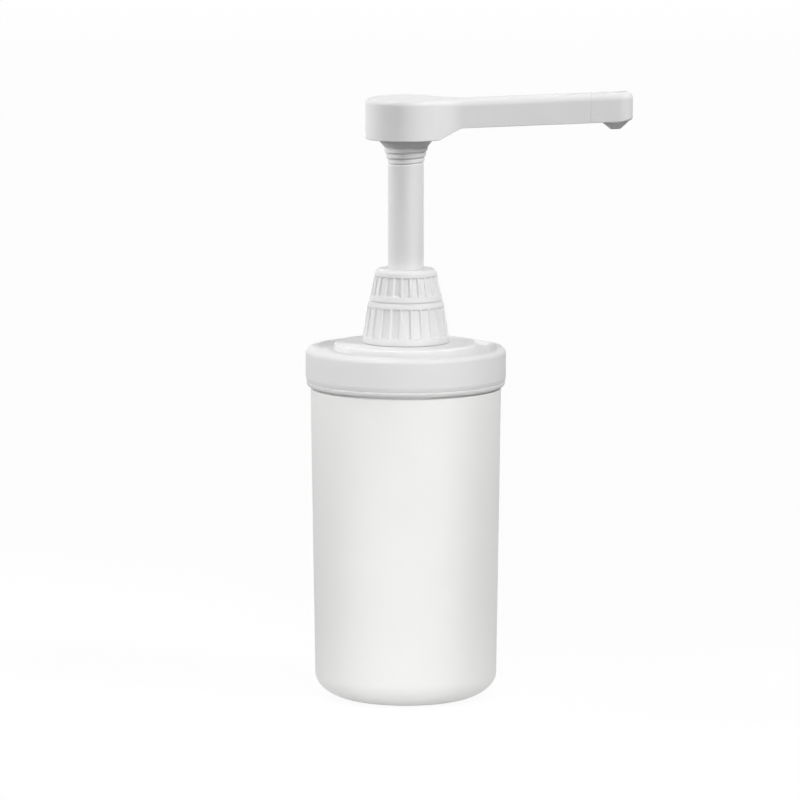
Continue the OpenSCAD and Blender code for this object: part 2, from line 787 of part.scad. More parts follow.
// The hollow stem: its foot in the piston, its threaded flare and its spigot in the head
module stem() {
  outline = [
    [stem_bore_r, foot_end], [foot_r, foot_end], [foot_r, bead_z - bead_half], [foot_r + bead_h, bead_z],
    [foot_r, bead_z + bead_half], [foot_r, stem_shoulder], [stem_r, stem_shoulder], [stem_r, flare_foot],
    [flare_r, flare_top], [spigot_r, flare_top], [spigot_r, stem_top], [stem_bore_r, stem_top]
  ];
  flare_pitch = (flare_h - 2 * edge) / flare_turns;
  color("white") union() {
    rotate_extrude() polygon(outline);
    translate([0, 0, flare_foot + edge])
      ridge(stem_r, flare_r, flare_pitch, flare_turns, flare_thread_h, flare_pitch / 2, flare_pitch / 4);
  }
}

// The ring between the stem's top and the head
module stem_seal() {
  color("dimgray") ring(stem_bore_r, spigot_r, stem_top, stem_seal_top);
}

// The side of the press head from its axis, drawn in by an inset
function head_side(inset) = concat(
  [[0, head_foot + inset]],
  arc(head_r - head_foot_round, head_foot + head_foot_round, head_foot_round - inset, -90, 0),
  arc(head_r - head_round, head_top - head_round, head_round - inset, 0, 90),
  [[0, head_top - inset]]
);

// The round press head and the spout arm, one moulding. The blend between them lies just inside both.
module spout_head() {
  color("white") difference() {
    union() {
      rotate_extrude() polygon(head_side(0));
      translate([0, 0, flare_top]) cylinder(r1 = flare_r, r2 = hub_r, h = hub_h + edge);
      hull() {
        rotate_extrude($fn = hull_fn) polygon(head_side(blend_inset));
        along_arm() arm_bar(arm_root, arm_root + edge, blend_inset);
      }
      along_arm() arm_bar(head_r - arm_round, seam_x - fit_gap);
    }
    disc(spigot_r + fit_gap, flare_top - over, stem_seal_top);
    disc(chamber_r, stem_top, arm_z);
    disc(cap_r + fit_gap, cap_foot, head_top + over);
    along_arm() {
      arm_bore(channel_r, 0, seam_x);
      arm_bore(plug_r + fit_gap, plug_foot - fit_gap, seam_x + over);
    }
  }
}

// The dished cap in the top of the head
module head_cap() {
  dish_r = (cap_r * cap_r + cap_dish * cap_dish) / (2 * cap_dish);
  half = asin((cap_r - edge) / dish_r);
  color("white") rotate_extrude() polygon(concat(
    [[0, cap_foot], [cap_r, cap_foot], [cap_r, head_top - edge]],
    arc(0, head_top - cap_dish + dish_r, dish_r, -90 + half, -90, 12)
  ));
}

// The end piece of the arm, with its plug and the way down to the nozzle
module spout_end() {
  r = arm_w / 2;
  up = arm_h / 2;
  tip = concat(
    [[0, -up]],
    arc(r - tip_foot_round, tip_foot_round - up, tip_foot_round, -90, 0),
    arc(r - arm_round, up - arm_round, arm_round, 0, 90),
    [[0, up]]
  );
  seal_in = plug_r - end_seal_d;
  color("white") along_arm() difference() {
    union() {
      hull() {
        arm_bar(seam_x, seam_x + edge);
        translate([tip_x, 0, 0]) rotate_extrude($fn = hull_fn * 2) polygon(tip);
      }
      difference() {
        arm_bore(plug_r, plug_foot, seam_x + over);
        difference() {
          arm_bore(plug_r + over, end_seal_x - end_seal_w / 2, end_seal_x + end_seal_w / 2);
          arm_bore(seal_in, end_seal_x - end_seal_w, end_seal_x + end_seal_w);
        }
      }
    }
    arm_bore(channel_r - edge, plug_foot - over, nozzle_x);
    translate([nozzle_x, 0, 0]) {
      disc(nozzle_spigot_r + fit_gap, -up - over, nozzle_spigot_h - up + fit_gap);
      disc(channel_r - edge, -up, channel_r - edge);
    }
  }
}

// The ring on the end piece's plug
module end_seal() {
  half = end_seal_w / 2 - fit_gap;
  color("dimgray") along_arm() difference() {
    arm_bore(plug_r - fit_gap, end_seal_x - half, end_seal_x + half);
    arm_bore(plug_r - end_seal_d + fit_gap, end_seal_x - half - over, end_seal_x + half + over);
  }
}

// The nozzle under the end piece
module nozzle() {
  up = arm_h / 2;
  color("white") along_arm() translate([nozzle_x, 0, -up]) rotate_extrude() polygon([
    [nozzle_hole_r, -nozzle_l], [nozzle_tip_r, -nozzle_l], [nozzle_r, -edge], [nozzle_r, 0],
    [nozzle_spigot_r, 0], [nozzle_spigot_r, nozzle_spigot_h], [channel_r - edge, nozzle_spigot_h],
    [nozzle_hole_r, nozzle_spigot_h / 2]
  ]);
}

jar();
lid();
lid_liner();
pump_cylinder();
flange_gasket();
closure_nut();
gland_cap();
guide_bush();
wiper_seal();
foot_valve();
inlet_ball();
ball_cage();
dip_tube();
return_spring();
piston();
piston_seal();
discharge_ball();
valve_stop();
stem();
stem_seal();
spout_head();
head_cap();
spout_end();
end_seal();
nozzle();
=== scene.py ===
"""Looks of the syrup pump dispenser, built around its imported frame.

Shapes are drawn in millimetres, +Z up and the spout along +X, and scaled to metres at the end.
"""
import json
import math

import bmesh
import bpy
from mathutils import Matrix, Vector


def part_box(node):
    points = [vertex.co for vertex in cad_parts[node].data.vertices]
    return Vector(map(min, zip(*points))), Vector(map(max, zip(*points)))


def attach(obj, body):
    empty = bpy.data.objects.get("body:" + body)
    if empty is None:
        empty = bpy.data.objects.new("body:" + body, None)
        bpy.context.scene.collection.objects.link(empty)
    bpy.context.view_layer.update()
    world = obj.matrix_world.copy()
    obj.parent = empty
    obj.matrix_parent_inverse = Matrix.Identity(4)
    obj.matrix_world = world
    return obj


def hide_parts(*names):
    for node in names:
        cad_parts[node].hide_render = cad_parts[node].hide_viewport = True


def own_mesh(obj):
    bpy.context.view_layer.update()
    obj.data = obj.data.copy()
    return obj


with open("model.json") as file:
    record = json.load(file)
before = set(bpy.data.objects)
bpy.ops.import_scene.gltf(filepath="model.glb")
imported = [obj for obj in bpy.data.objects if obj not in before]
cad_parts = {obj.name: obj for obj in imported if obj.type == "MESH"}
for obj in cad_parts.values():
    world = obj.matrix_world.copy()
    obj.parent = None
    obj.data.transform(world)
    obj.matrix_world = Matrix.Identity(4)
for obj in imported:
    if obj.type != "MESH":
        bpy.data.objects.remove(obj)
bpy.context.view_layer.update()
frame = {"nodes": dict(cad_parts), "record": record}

# The body and the material slot of each CAD node
body_of = {n: b for b, nodes in frame["record"]["behaviour"]["bodies"].items() for n in nodes}
slot_of = {part["node"]: part["material_slot"] for part in frame["record"]["subparts"]}

# The camera looks along +Y from a little above, through a long lens
CAMERA_TARGET = Vector((-0.0033, 0, 0.1713))
CAMERA_DISTANCE = 4.0
CAMERA_ELEVATION = math.radians(7.6)
CAMERA_LENS = 315.8
CAMERA_REACH = 100
SENSOR_WIDTH = 36

MM = 0.001
# Steps of a quarter turn of a rounded edge, and the flat that is held beside it
EDGE_STEPS = 6
HOLD = 0.25
# Edges that turn by more than this stay sharp
SHARP = math.radians(50)
# Radii of edges, from the sharpest to the roundest
HAIR = 0.1
CRISP = 0.2
FINE = 0.3
SMALL = 0.4
SOFT = 0.6
ROUND = 1.0
# Points nearer than JOIN become one, and so does a ring narrower than TINY
JOIN = 1e-5
TINY = 1e-6
# Where the inner ring of a flat end lies, as a share of the way to its middle
END_INSET = 0.6
# How far past a corner a run of points starts
LEAD = 1.0
# Sides of what is turned: the jar and the lid, one panel of a nut, the stem, the head's disc and the nozzle
JAR_SIDES = 256
PANEL_SIDES = 24
STEM_SIDES = 192
CAP_SIDES = 128
NOZZLE_SIDES = 96
# Screw ridges: how steep their sides are, how soon they fade at their ends and the step that draws them
RIDGE_STEEP = 1.8
RIDGE_FADE = 8
RIDGE_STEP = 0.4

# Surfaces: the clouds of tone and gloss, and the grain
PLASTIC_IOR = 1.49
CLOUD_SCALE = 22
CLOUD_DETAIL = 6
CLOUD_ROUGHNESS = 0.6
CLOUD_RANGE = (0.3, 0.7)
GLOSS_RANGE = (0.85, 1.15)
GRAIN_DETAIL = 3


def low(node):
    """The lowest height of a CAD node."""
    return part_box(node)[0].z / MM


def high(node):
    """The highest height of a CAD node."""
    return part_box(node)[1].z / MM


# Light from all round, and each lamp: name, place, what it points at, width, height, spread and power
FILL = 0.47
LAMPS = (
    ("front", (0, -1.1, 0.78), (0, 0, 0.25), 0.5, 0.16, 180, 3.05),
    ("jar_right", (0.75, -0.9, 0.1), (0, 0, 0.1), 0.3, 0.2, 28, 0.105),
    ("jar_left", (-0.75, -0.9, 0.1), (0, 0, 0.1), 0.3, 0.2, 28, 0.115),
    ("pump_right", (0.46, -0.28, 0.7), (0.03, 0, 0.36), 0.2, 0.2, 36, 0.187),
    ("pump_left", (-0.6, 0.1, 0.52), (0, 0, 0.33), 0.15, 0.2, 38, 0.2),
    ("back", (0, 6, 0.12), (0, 0, 0.17), 2, 0.2, 36, 4.5),
)
# Lamps that give no glint, because theirs on the arm's flat top would clip to white from the side
SOFT_LAMPS = ("pump_left",)

# The floor sends light back up near the object and little farther off:
# from and to distance, near and far share
BOUNCE = (0.1, 0.32, 0.87, 0.06)
# What the camera sees of the floor: its own light, and a lit share that takes the shadow.
# Together they are white
FLOOR_OWN = 0.913
FLOOR_LIT = 0.13
FLOOR_HALF = 14

# Jar
JAR_RIM = high("jar")
JAR_H = JAR_RIM - 18.4
JAR_R = 54.3
JAR_DRAFT = 2.7
JAR_WALL = 2.2
JAR_FLOOR = 2.6
SHOULDER_ROUND = 0.9
BASE_IN = 24.0
BASE_UP = 15.0
BASE_STEPS = 20
BASE_DISC = 18.0
BASE_GROOVE = 0.8
BASE_RING = 2.0
WALL_FOOT = BASE_UP + LEAD
NECK_R = 52.6
NECK_IN = 50.2
BLEND_TOP = JAR_H - 0.5
BLEND_FOOT = JAR_H - 5
BLEND_ROUND = 2.0
JAR_PITCH = 5.08
JAR_TURNS = 1.3
JAR_THREAD_Z = (JAR_H + JAR_RIM - JAR_PITCH * JAR_TURNS) / 2
JAR_THREAD_H = 1.6
JAR_THREAD_W = 2.4
JAR_THREAD_FROM = JAR_H + 2
JAR_THREAD_TO = JAR_RIM - 1.5

# Lid
LID_R = 57.0
LID_IN = 54.8
LID_FOOT = low("lid")
LIP_TOP = LID_FOOT + 2.4
LIP_IN = LID_R - 1
LIP_TOP_R = LID_R - 0.3
LIP_ROUND = 1.5
SKIRT_FOOT = LIP_TOP + 0.7
SKIRT_FOOT_R = LID_R - 0.5
SKIRT_SIDE = SKIRT_FOOT + 2.2
LID_TOP = LID_FOOT + 21.9
RIM_ROUND = 3.0
RIM_R = LID_R - 4.4
RIM_SOFT = 2.0
DISH_R = LID_R - 9
DISH_ROUND = 4.0
LID_FLAT = LID_TOP - 1.4
LID_UNDER = LID_FLAT - 2
BOSS_R = 40.5
BOSS_TOP = LID_FLAT + 4.2
BOSS_WALL = 2.2
LID_NECK_R = 18.6
LID_NECK_IN = 15.4
LID_NECK_ROUND = 0.5
NECK_TOP = high("lid")
LID_THREAD_DROP = 2.1
LID_THREAD_H = 1.8
LID_THREAD_FROM = LID_FOOT + LEAD
LID_THREAD_TO = LID_UNDER - 2

# Closure nut and gland cap
FLUTES = 24
FLUTE_DEPTH = 0.9
FLUTE_END = 0.9
FLUTE_STEP = 0.45
RIB = 0.4
RIB_EDGE = 0.7
NUT_R = 24.7
NUT_IN = 20.0
NUT_BORE = 16.4
NUT_SHOULDER = 21.9
NUT_FOOT = BOSS_TOP + 0.1
NUT_TOP = high("closure_nut")
NUT_CEILING = NUT_TOP - 5
NUT_ROUND = 4.2
NUT_BAND = 3.7
GLAND_R = 20.9
GLAND_IN = 16.4
GLAND_SEAT = 18.2
GLAND_WALL = 20.0
GLAND_TOP_R = 17.6
GLAND_FOOT = low("gland_cap")
GLAND_TOP = high("gland_cap")
GLAND_CEILING = GLAND_TOP - 3.6
GLAND_ROUND = 2.8
BEAD_FOOT = GLAND_FOOT - 1.2
BEAD_FOOT_R = 20.5
BEAD_SIDE = GLAND_FOOT - 0.2
BEAD_ROUND = 0.8
BEAD_TOP = GLAND_FOOT + 2.2
BEAD_TOP_R = GLAND_WALL + 0.2
BEAD_CLEAR = 0.05
# The cap's panels start under its bead's top and stop short of its shoulder
CUT_UNDER = 0.6
CUT_SHORT = 0.8
# The room for the wiper under the cap's ceiling
WIPER_R = 15.42
WIPER_H = 3.5

# Stem. It snaps into the piston at its foot, and its flare at the top has bands with a groove between them
STEM_R = 10.15
STEM_PLAY = 0.15
STEM_BORE = 6.5
STEM_FOOT = low("stem")
STEM_FOOT_R = 8.6
STEM_SHOULDER = STEM_FOOT + 8.8
SNAP_HALF = 0.9
SNAP_OUT = 0.4
FLARE_TOP = low("spout_head")
FLARE_FOOT = FLARE_TOP - 8.5
FLARE_R = 12.6
FLARE_START = FLARE_FOOT - 3.2
FLARE_PITCH = 3.2
FLARE_TURNS = 3.6
FLARE_STEP = 0.14
BANDS_FOOT = FLARE_FOOT - 4
BANDS_TOP = FLARE_TOP - 0.4
GROOVE_DEPTH = 0.45
GROOVE_W = 1.3
SPIGOT_R = 9.5
STEM_TOP = high("stem")
STEM_BORE_TOP = STEM_TOP - 2

# Head and its disc
CAP_R = 18.6
CAP_DISH = 0.8
CAP_LIP = 0.5
CAP_DROP = 0.1
CAP_STEPS = 12
CAP_LAND = 0.3
CAP_GAP = 0.02
CAP_BEVEL = (0.08, 0.06)
CAP_FOOT = low("head_cap")
HEAD_TOP = CAP_FOOT + 2
HEAD_R = 23.0
HEAD_FOOT = HEAD_TOP - 23.2
HEAD_STEPS = 44
HUB_R = 15.8
HUB_LAND = 0.6
HUB_BEVEL = 0.7
SPIGOT_HOLE = SPIGOT_R + 0.02
SPIGOT_END = STEM_TOP + 1.2

# Arm, which rises from the head. The ramp is its sweep below and the brow its sweep above
ARM_Z = HEAD_FOOT + 13.4
ARM_RISE = math.radians(2.3)
ARM_SIDE = 8.0
ARM_HALF = 8.25
ARM_UP = ARM_HALF / math.cos(ARM_RISE)
ARM_ROOT = 31.0
ARM_SWEEP = 20.0
ARM_STEP = 3
SWEEP_STEPS = 16
RAMP_FOOT = 19.5
RAMP_TOP = ARM_ROOT + 0.6
RAMP_ROUND = 3
BROW_FROM = 19
BROW_TO = 34
BROW_ROUND = 40
# The runs of foot and top heights reach past both ends
RUN_FROM = -40
RUN_TO = 120
RUN_STEP = 2
# Where the rows across the arm end and the head's round face begins, below and above
RAMP_NECK = RAMP_FOOT - 1
BROW_NECK = ARM_ROOT + 6
# Radii of the foot and top edges, and where those of the head become those of the arm
HEAD_EDGES = (0.6, 3)
ARM_EDGES = (0.35, 4)
EDGES_FROM = 10
EDGES_OVER = 22

# Seam, end piece and nozzle. The nozzle's heights are from the arm's underside
SEAM = 104.4
SEAM_INSET = 0.14
SEAM_REACH = 0.35
SEAM_HALF = 0.01
SEAM_NEAR = 0.4
SEAM_STEPS = (SEAM_REACH, 0.2, 0.1, SEAM_HALF)
SPOUT_END_STEPS = (12, 9, 6, 3, 0.7, *SEAM_STEPS)
PLUG_R = 6
PLUG_L = 8.9
PLUG_HOLE_R = 6.02
PLUG_HOLE_L = 9
TIP = 128.7
TIP_STEPS = 24
TIP_FOOT_EDGE = 2
SOCKET_R = 5.02
SOCKET_L = 4
NOZZLE_AT = 118.5
NOZZLE_R = 7.5
NOZZLE_RIM = -0.5
NOZZLE_FOOT = -4.4
NOZZLE_TOP = 3.9
NOZZLE_MOUTH = 3
NOZZLE_PLUG = 5
NOZZLE_FUNNEL = 3.5
NOZZLE_BORE = 2
NOZZLE_BORE_FROM = -3
NOZZLE_BORE_TO = 2
MOUTH_EDGE = 0.25

# Return spring
SPRING_GAP = 0.3
SPRING_FOOT = low("return_spring") - SPRING_GAP
SPRING_L = 77.0
SPRING_R = 11.5
SPRING_TURNS = 10
WIRE = 1.6
# The gap between the turns at its closed ends
CLOSED_GAP = 0.6
COIL_STEPS = 40
WIRE_SIDES = 12
# The part of a turn to each side over which its slope is taken
SLOPE_OVER = 0.1


def add_camera():
    data = bpy.data.cameras.new("camera")
    data.lens = CAMERA_LENS
    data.sensor_width = SENSOR_WIDTH
    data.clip_end = CAMERA_REACH
    camera = bpy.data.objects.new("camera", data)
    bpy.context.scene.collection.objects.link(camera)
    back = Vector((0, -math.cos(CAMERA_ELEVATION), math.sin(CAMERA_ELEVATION)))
    camera.location = CAMERA_TARGET + back * CAMERA_DISTANCE
    camera.rotation_euler = (-back).to_track_quat("-Z", "Y").to_euler()
    bpy.context.scene.camera = camera


# Profiles


def mix(a, b, t):
    return a + (b - a) * t


def smooth(t):
    t = min(max(t, 0), 1)
    return t * t * (3 - 2 * t)


def rounded(corners):
    """The run of points through corners (x, y) or (x, y, radius).

    Straights beside an arc are held flat.
    """
    spots = []
    for i, corner in enumerate(corners):
        at = Vector(corner[:2])
        radius = corner[2] if len(corner) > 2 and 0 < i < len(corners) - 1 else 0
        if not radius:
            spots.append([at])
            continue
        back = (Vector(corners[i - 1][:2]) - at).normalized()
        ahead = (Vector(corners[i + 1][:2]) - at).normalized()
        half = back.angle(ahead) / 2
        centre = at + (back + ahead).normalized() * radius / math.sin(half)
        first = at + back * radius / math.tan(half) - centre
        turn = math.pi - 2 * half
        if back.x * ahead.y - back.y * ahead.x > 0:
            turn = -turn
        steps = max(2, round(abs(turn) / (math.pi / 2) * EDGE_STEPS))
        spots.append([centre + Matrix.Rotation(turn * k / steps, 2) @ first for k in range(steps + 1)])
    points = []
    for i, spot in enumerate(spots):
        points += spot
        if i + 1 < len(spots):
            gap = spots[i + 1][0] - spot[-1]
            if gap.length > 4 * HOLD:
                step = gap.normalized() * HOLD
                points += [spot[-1] + step] * (len(spot) > 1)
                points += [spots[i + 1][0] - step] * (len(spots[i + 1]) > 1)
    return [tuple(p) for p in points]


def finer(points, longest):
    """The same run of points, with its long steps divided."""
    out = [points[0]]
    for a, b in zip(points, points[1:]):
        count = max(1, math.ceil(math.dist(a, b) / longest))
        out += [(mix(a[0], b[0], k / count), mix(a[1], b[1], k / count)) for k in range(1, count + 1)]
    return out


def height_at(run, x):
    """The height of a run of points at x."""
    for a, b in zip(run, run[1:]):
        if x <= b[0]:
            return mix(a[1], b[1], (x - a[0]) / (b[0] - a[0]))
    return run[-1][1]


# Skins


class Skin:
    """The points and faces of one piece, gathered ring by ring."""

    def __init__(self):
        self.points = []
        self.faces = []

    def ring(self, points):
        first = len(self.points)
        self.points += [tuple(p) for p in points]
        return list(range(first, len(self.points)))

    def strip(self, a, b):
        """Faces between two open rows, one of which may be a single point."""
        for i in range(max(len(a), len(b)) - 1):
            corners = [a[i], a[i + 1], b[i + 1], b[i]] if len(a) == len(b) else (
                [a[0], b[i + 1], b[i]] if len(a) == 1 else [a[i], a[i + 1], b[0]])
            self.faces.append(corners)

    def bridge(self, a, b):
        """Faces between two closed rings, one of which may be a single point."""
        self.strip(a + a[:1] if len(a) > 1 else a, b + b[:1] if len(b) > 1 else b)

    def close(self, ring):
        """A flat end: a smaller ring inside, and a fan in that."""
        middle = sum((Vector(self.points[i]) for i in ring), Vector()) / len(ring)
        inner = self.ring([Vector(self.points[i]).lerp(middle, END_INSET) for i in ring])
        self.bridge(ring, inner)
        self.bridge(inner, self.ring([middle]))

    def lathe(self, profile, steps, shape=None, loop=True):
        """A turned skin. shape gives the radius at (radius, height, angle)."""
        rings = []
        for r, z in profile:
            if r < TINY:
                rings.append(self.ring([(0, 0, z)]))
                continue
            turned = []
            for k in range(steps):
                angle = 2 * math.pi * k / steps
                reach = shape(r, z, angle) if shape else r
                turned.append((reach * math.cos(angle), reach * math.sin(angle), z))
            rings.append(self.ring(turned))
        for a, b in zip(rings, rings[1:] + rings[:1] if loop else rings[1:]):
            self.bridge(a, b)

    def piece(self, name, node, material, place=Matrix()):
        """The finished piece, which stands for a node and rides on that node's body."""
        mesh = bpy.data.meshes.new(name)
        mesh.from_pydata(self.points, [], self.faces)
        form = bmesh.new()
        form.from_mesh(mesh)
        bmesh.ops.remove_doubles(form, verts=form.verts, dist=JOIN)
        bmesh.ops.recalc_face_normals(form, faces=form.faces)
        form.to_mesh(mesh)
        form.free()
        mesh.transform(Matrix.Scale(MM, 4) @ place)
        mesh.shade_smooth()
        mesh.set_sharp_from_angle(angle=SHARP)
        mesh.materials.append(material)
        piece = bpy.data.objects.new(name, mesh)
        bpy.context.scene.collection.objects.link(piece)
        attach(piece, body_of[node])
        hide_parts(node)
        return piece


def thread(z, angle, foot, pitch, turns, height, width):
    """How far a rounded screw ridge stands out at a height and an angle."""
    turn = angle / (2 * math.pi)
    count = min(max(round((z - foot) / pitch - turn), 0), math.ceil(turns - turn) - 1)
    along = count + turn
    if not 0 <= along <= turns:
        return 0
    off = abs(z - foot - along * pitch) / (width / 2)
    fade = smooth(min(along, turns - along) * RIDGE_FADE)
    return height * fade * smooth((1 - off) * RIDGE_STEEP)


# Materials


def node_tree(name):
    material = bpy.data.materials.new(name)
    material.use_nodes = True
    tree = material.node_tree
    tree.nodes.clear()
    return material, tree


def map_range(tree, values):
    """A node that maps one range to another. values are the ends of the first and of the second."""
    node = tree.nodes.new("ShaderNodeMapRange")
    for name, value in zip(("From Min", "From Max", "To Min", "To Max"), values):
        node.inputs[name].default_value = value
    return node


def surface(name, color, roughness, uneven, grain, metal=0, shine=0.5):
    """A surface that is uneven in tone and gloss.

    grain is (scale, depth in metres) of each layer of bumps.
    """
    material, tree = node_tree(name)
    add = tree.nodes.new
    link = tree.links.new
    out = add("ShaderNodeOutputMaterial")
    shader = add("ShaderNodeBsdfPrincipled")
    shader.inputs["IOR"].default_value = PLASTIC_IOR
    shader.inputs["Specular IOR Level"].default_value = shine
    shader.inputs["Metallic"].default_value = metal
    link(shader.outputs["BSDF"], out.inputs["Surface"])
    place = add("ShaderNodeTexCoord")
    clouds = add("ShaderNodeTexNoise")
    clouds.inputs["Scale"].default_value = CLOUD_SCALE
    clouds.inputs["Detail"].default_value = CLOUD_DETAIL
    clouds.inputs["Roughness"].default_value = CLOUD_ROUGHNESS
    link(place.outputs["Object"], clouds.inputs["Vector"])
    tone = add("ShaderNodeValToRGB")
    for element, position, share in zip(tone.color_ramp.elements, CLOUD_RANGE, (1 - uneven, 1)):
        element.position = position
        element.color = (*[c * share for c in color], 1)
    link(clouds.outputs["Fac"], tone.inputs["Fac"])
    link(tone.outputs["Color"], shader.inputs["Base Color"])
    gloss = map_range(tree, (*CLOUD_RANGE, *[roughness * share for share in GLOSS_RANGE]))
    link(clouds.outputs["Fac"], gloss.inputs["Value"])
    link(gloss.outputs["Result"], shader.inputs["Roughness"])
    normal = None
    for scale, depth in grain:
        layer = add("ShaderNodeTexNoise")
        layer.inputs["Scale"].default_value = scale
        layer.inputs["Detail"].default_value = GRAIN_DETAIL
        bump = add("ShaderNodeBump")
        bump.inputs["Distance"].default_value = depth
        link(place.outputs["Object"], layer.inputs["Vector"])
        link(layer.outputs["Fac"], bump.inputs["Height"])
        if normal:
            link(normal, bump.inputs["Normal"])
        normal = bump.outputs["Normal"]
    link(normal, shader.inputs["Normal"])
    return material


JAR_GRAIN = [(450, 0.00006), (2200, 0.00002)]
LID_GRAIN = [(600, 0.00005), (2600, 0.00002)]
PUMP_GRAIN = [(700, 0.00004), (3000, 0.00002)]
jar_plastic = surface("jar_plastic", (0.9, 0.9, 0.89), 0.5, 0.02, JAR_GRAIN, shine=0.3)
lid_plastic = surface("lid_plastic", (0.8, 0.8, 0.8), 0.6, 0.03, LID_GRAIN, shine=0.15)
# The pump's white plastic is made grey as painted shade: pump_plastic on the head, arm, stem and nozzle, and
# the lighter copy nut_plastic on the closure nut and gland cap
pump_plastic = surface("pump_plastic", (0.64, 0.64, 0.64), 0.45, 0.03, PUMP_GRAIN, shine=0.3)
nut_plastic = surface("nut_plastic", (0.68, 0.68, 0.68), 0.45, 0.03, PUMP_GRAIN, shine=0.3)
inner_plastic = surface("inner_plastic", (0.8, 0.8, 0.76), 0.4, 0.05, [(500, 0.00005), (2400, 0.00002)])
tube_plastic = surface("tube_plastic", (0.76, 0.77, 0.75), 0.3, 0.05, [(300, 0.00004), (1800, 0.00002)])
liner_foam = surface("liner_foam", (0.8, 0.8, 0.77), 0.85, 0.08, [(1500, 0.0002), (5000, 0.0001)])
seal_rubber = surface("seal_rubber", (0.045, 0.045, 0.045), 0.6, 0.3, [(1200, 0.00006), (4000, 0.00003)])
steel = surface("steel", (0.62, 0.62, 0.63), 0.25, 0.1, [(900, 0.00002), (4000, 0.00001)], metal=1)
finish_of = {
    "jar_plastic": jar_plastic, "lid_plastic": lid_plastic, "pump_plastic": pump_plastic,
    "inner_plastic": inner_plastic, "tube_plastic": tube_plastic, "liner_foam": liner_foam,
    "seal_rubber": seal_rubber, "steel": steel,
}


# Pieces


def jar_wall(z):
    return JAR_R - JAR_DRAFT * (1 - z / JAR_H)


def oval(x, z, out, up):
    """A quarter of an oval from its foot out to its side."""
    turns = [math.pi / 2 * k / BASE_STEPS for k in range(BASE_STEPS + 1)]
    return [(x + out * math.sin(a), z - up * math.cos(a)) for a in turns]


def make_jar():
    base = jar_wall(BASE_UP) - BASE_IN
    ring = base - BASE_RING
    outside = rounded([
        (0, 0), (BASE_DISC, 0, SMALL), (BASE_DISC + BASE_GROOVE, BASE_GROOVE, SMALL),
        (ring - BASE_GROOVE, BASE_GROOVE, SMALL), (ring, 0, SMALL), (base, 0),
    ])
    outside += oval(base, BASE_UP, BASE_IN, BASE_UP)[1:]
    outside += rounded([
        (jar_wall(WALL_FOOT), WALL_FOOT), (JAR_R, JAR_H, SHOULDER_ROUND), (NECK_R, JAR_H, SMALL),
        (NECK_R, JAR_THREAD_FROM),
    ])
    neck = finer([(NECK_R, JAR_THREAD_FROM), (NECK_R, JAR_THREAD_TO)], RIDGE_STEP)
    inside = rounded([
        (NECK_R, JAR_THREAD_TO), (NECK_R, JAR_RIM, SOFT), (NECK_IN, JAR_RIM, SOFT),
        (NECK_IN, BLEND_TOP, BLEND_ROUND), (jar_wall(BLEND_FOOT) - JAR_WALL, BLEND_FOOT, BLEND_ROUND),
        (jar_wall(WALL_FOOT) - JAR_WALL, WALL_FOOT),
    ])
    inside += oval(base, BASE_UP, BASE_IN - JAR_WALL, BASE_UP - JAR_FLOOR)[::-1] + [(0, JAR_FLOOR)]

    def shape(r, z, angle):
        if JAR_THREAD_FROM < z < JAR_THREAD_TO and r == NECK_R:
            return r + thread(z, angle, JAR_THREAD_Z, JAR_PITCH, JAR_TURNS, JAR_THREAD_H, JAR_THREAD_W)
        return r

    skin = Skin()
    skin.lathe(outside + neck[1:-1] + inside, JAR_SIDES, shape, loop=False)
    skin.piece("jar_shell", "jar", jar_plastic)


def make_lid():
    outside = rounded([
        (LID_IN, LID_THREAD_FROM), (LID_IN, LID_FOOT, SMALL), (LIP_IN, LID_FOOT, LIP_ROUND),
        (LIP_TOP_R, LIP_TOP, FINE), (LIP_IN, LIP_TOP, CRISP), (LIP_IN, SKIRT_FOOT, CRISP),
        (SKIRT_FOOT_R, SKIRT_FOOT, CRISP), (LID_R, SKIRT_SIDE, RIM_ROUND), (LID_R, LID_TOP, RIM_ROUND),
        (RIM_R, LID_TOP, RIM_SOFT), (DISH_R, LID_FLAT, DISH_ROUND), (BOSS_R, LID_FLAT, SOFT),
        (BOSS_R, BOSS_TOP, ROUND), (LID_NECK_R, BOSS_TOP, SMALL), (LID_NECK_R, NECK_TOP, LID_NECK_ROUND),
        (LID_NECK_IN, NECK_TOP, FINE), (LID_NECK_IN, BOSS_TOP - BOSS_WALL, FINE),
        (BOSS_R - BOSS_WALL, BOSS_TOP - BOSS_WALL, ROUND), (BOSS_R - BOSS_WALL, LID_UNDER, SOFT),
        (LID_IN, LID_UNDER, SOFT), (LID_IN, LID_THREAD_TO),
    ])
    bore = finer([(LID_IN, LID_THREAD_TO), (LID_IN, LID_THREAD_FROM)], RIDGE_STEP)
    foot = JAR_THREAD_Z - LID_THREAD_DROP

    def shape(r, z, angle):
        if LID_THREAD_FROM < z < LID_THREAD_TO and r == LID_IN:
            return r - thread(z, angle, foot, JAR_PITCH, JAR_TURNS, LID_THREAD_H, JAR_THREAD_W)
        return r

    skin = Skin()
    skin.lathe(outside + bore[1:-1], JAR_SIDES, shape)
    skin.piece("lid_shell", "lid", lid_plastic)


def flutes(r0, z0, r1, z1):
    """A shape with panels sunk between narrow ribs, cut between two heights of a tapering wall."""
    sector = 2 * math.pi / FLUTES

    def shape(r, z, angle):
        wall = mix(r0, r1, (z - z0) / (z1 - z0))
        if r < wall - FLUTE_DEPTH:
            return r
        side = wall * abs((angle + sector / 2) % sector - sector / 2)
        reach = wall * sector / 2 - RIB / 2
        if side >= reach:
            return r
        edge = smooth((reach - side) / RIB_EDGE) * smooth(min(z - z0, z1 - z) / FLUTE_END)
        return r - FLUTE_DEPTH * edge

    return shape


